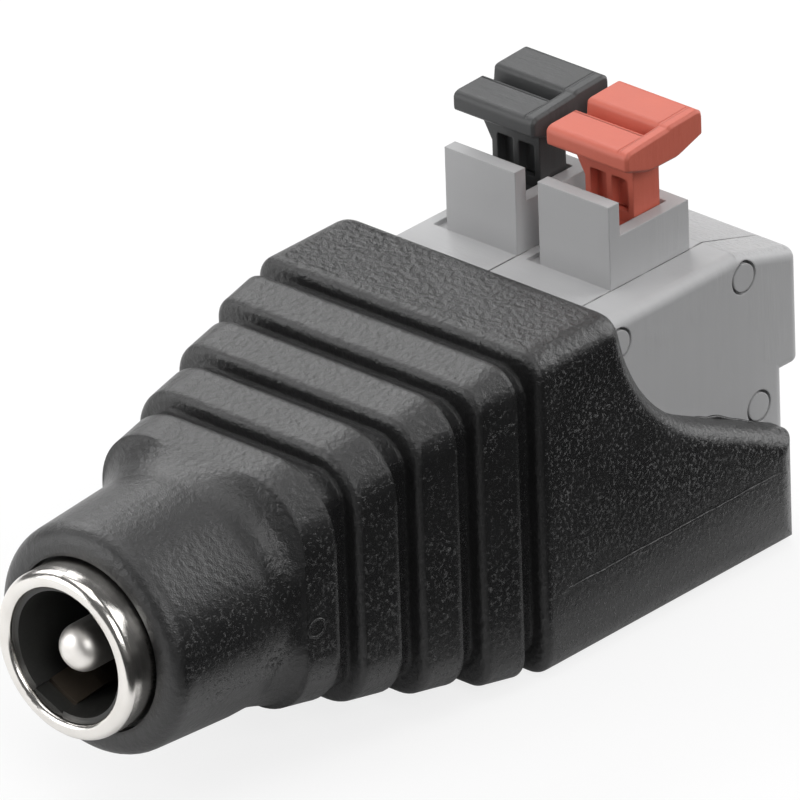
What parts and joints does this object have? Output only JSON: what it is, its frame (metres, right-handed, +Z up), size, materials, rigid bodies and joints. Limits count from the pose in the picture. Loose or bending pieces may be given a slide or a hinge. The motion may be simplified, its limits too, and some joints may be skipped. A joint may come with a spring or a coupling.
{
  "type": "dc barrel jack to terminal block adapter",
  "caption": "Inline DC barrel jack in a ribbed black moulded body, with a grey push-button terminal block for two bare wires at its rear.",
  "frame": {"origin": "middle of the flat underside of the square part of the body, which the part rests on", "axes": "+Z up, +Y from the jack's mouth towards the wire entries, +X to the right seen from the jack's side; the jack's axis is parallel to Y"},
  "size_m": [0.0158, 0.0389, 0.0199],
  "materials": {
    "body_black": "satin, fine leather grain",
    "nickel": "polished nickel plate",
    "liner_black": "satin",
    "bronze": "bright rolled strip",
    "block_grey": "fine satin",
    "tinned_copper": "matt tin plate",
    "spring_steel": "rolled strip",
    "button_black": "satin",
    "button_red": "satin",
    "copper": "bright stranded copper",
    "pvc_red": "soft gloss",
    "pvc_black": "soft gloss"
  },
  "bodies": {
    "adapter": {"ribbed_body": "body_black", "jack_tube": "nickel", "pin_insulator": "liner_black", "centre_pin": "nickel", "contact_leaf": "bronze", "terminal_left": "block_grey", "terminal_right": "block_grey", "end_plate": "block_grey", "current_bar_left": "tinned_copper", "current_bar_right": "tinned_copper", "clamp_spring_left": "spring_steel", "clamp_spring_right": "spring_steel", "red_wire_core": "copper", "black_wire_core": "copper", "red_wire_jacket": "pvc_red", "black_wire_jacket": "pvc_black"},
    "black_button": {"black_button": "button_black"},
    "red_button": {"red_button": "button_red"}
  },
  "joints": [
    {"name": "black_button_press", "type": "slide", "parent": "adapter", "child": "black_button", "axis": [0, 0, -1], "range_m": [0, 0.001], "stiffness_N_per_m": 1200, "springref_m": -0.0004, "deforming": ["clamp_spring_left"]},
    {"name": "red_button_press", "type": "slide", "parent": "adapter", "child": "red_button", "axis": [0, 0, -1], "range_m": [0, 0.001], "stiffness_N_per_m": 1200, "springref_m": -0.0004, "deforming": ["clamp_spring_right"]}
  ]
}
